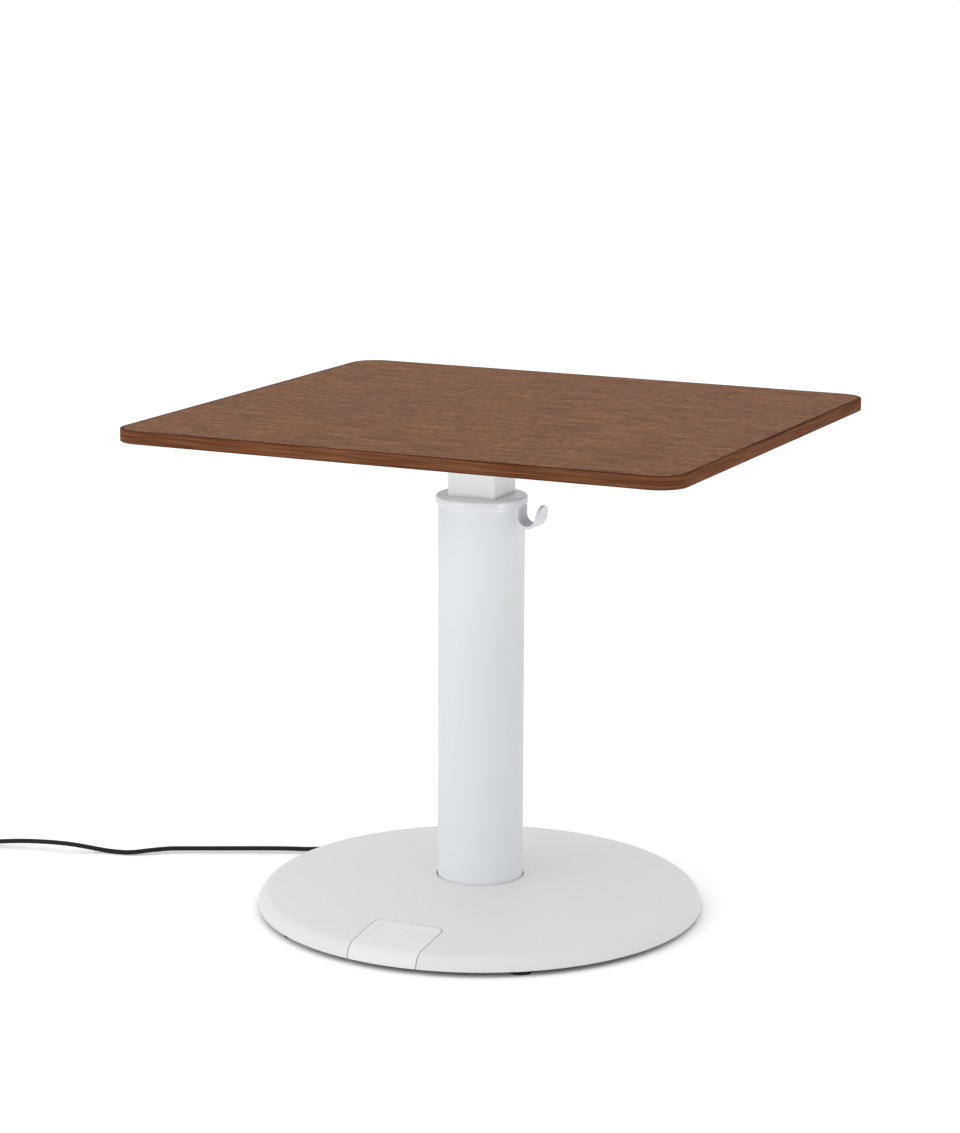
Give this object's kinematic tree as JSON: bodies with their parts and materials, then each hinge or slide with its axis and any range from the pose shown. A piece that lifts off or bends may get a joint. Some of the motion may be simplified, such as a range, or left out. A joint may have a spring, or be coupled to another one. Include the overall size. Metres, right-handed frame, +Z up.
{
  "type": "height-adjustable pedestal desk",
  "caption": "Standing desk: a rounded rectangular wooden worktop on a telescoping white column, with a domed round base, a foot pedal, a bag hook and a power cord.",
  "frame": {"origin": "on the floor, under the middle of the desk's outline in plan", "axes": "+Z up, -Y to the front where the pedal is, +X to the right where the bag hook is"},
  "size_m": [1.3117, 0.777, 0.72],
  "materials": {
    "core": "wood particle board, raw",
    "veneer": "walnut-brown veneer, satin lacquer",
    "backing": "balancing laminate, off-white, matt",
    "lipping": "solid walnut-brown lipping, satin lacquer",
    "dark_steel": "dark grey powder coat, fine texture",
    "white_paint": "white powder coat, satin",
    "white_plastic": "white moulding, satin",
    "pedal_plastic": "white moulding, satin",
    "guide_plastic": "natural acetal",
    "bronze": "machined bronze",
    "bright_steel": "machined steel",
    "zinc": "zinc plated",
    "cast_aluminium": "die cast",
    "black_paint": "black primer on steel",
    "glide_plastic": "black moulding",
    "black_plastic": "black moulding",
    "board": "green circuit board",
    "black_rubber": "black flexible jacket",
    "tie": "woven hook-and-loop strap",
    "brass_pins": "plain brass"
  },
  "bodies": {
    "base": {"thrust_bearing": "bright_steel", "gearbox": "cast_aluminium", "motor": "bright_steel", "motor_plate": "zinc", "motor_plate_screws": "zinc", "motor_cable": "black_rubber", "foot_flange": "white_paint", "flange_bolts": "zinc", "outer_sleeve": "white_paint", "guide_seat": "zinc", "top_guide": "guide_plastic", "collar": "white_plastic", "bag_hook": "white_paint", "ballast_plate": "black_paint", "glide_pads": "glide_plastic", "base_cover": "white_plastic", "cover_screws": "zinc", "pedal_pin": "bright_steel", "pedal_brackets": "zinc", "bracket_screws": "zinc", "rear_spring": "bright_steel", "front_spring": "bright_steel", "switch_board": "board", "pedal_switches": "black_plastic", "pedal_cable": "black_rubber", "control_box": "black_plastic", "box_screws": "zinc", "supply_cable": "black_rubber", "inlet_block": "black_plastic", "inlet_screws": "zinc", "strain_relief": "black_rubber", "power_cord": "black_rubber", "cord_coil": "black_rubber", "cord_tie": "tie", "plug_body": "black_rubber", "plug_pins": "brass_pins"},
    "lifting": {"worktop_core": "core", "top_veneer": "veneer", "under_laminate": "backing", "edge_lipping": "lipping", "worktop_rails": "dark_steel", "rail_screws": "zinc", "bearer_plate": "dark_steel", "rail_bolts": "zinc", "rail_nuts": "zinc", "head_plate": "white_paint", "head_bolts": "zinc", "head_nuts": "zinc", "inner_column": "white_paint", "bottom_guide": "guide_plastic", "guide_screws": "zinc", "nut_carrier": "dark_steel", "spindle_nut": "bronze"},
    "spindle": {"spindle": "bright_steel", "spindle_stop": "bright_steel"},
    "pedal": {"pedal": "pedal_plastic"}
  },
  "joints": [
    {"name": "lift", "type": "slide", "parent": "base", "child": "lifting", "axis": [0, 0, 1], "range_m": [0, 0.4]},
    {"name": "spindle_spin", "type": "hinge", "parent": "base", "child": "spindle", "pos_m": [0, -0.0655, 0.3], "axis": [0, 0, 1], "range_deg": [-14400, 0]},
    {"name": "pedal_rock", "type": "hinge", "parent": "base", "child": "pedal", "pos_m": [0, -0.3415, 0.0245], "axis": [1, 0, 0], "range_deg": [-2.5, 2.5], "stiffness_Nm_per_rad": 8, "deforming": ["rear_spring", "front_spring"]}
  ],
  "couplings": [
    {"joint": "spindle_spin", "follows": "lift", "rad_per_m": -628.32}
  ]
}
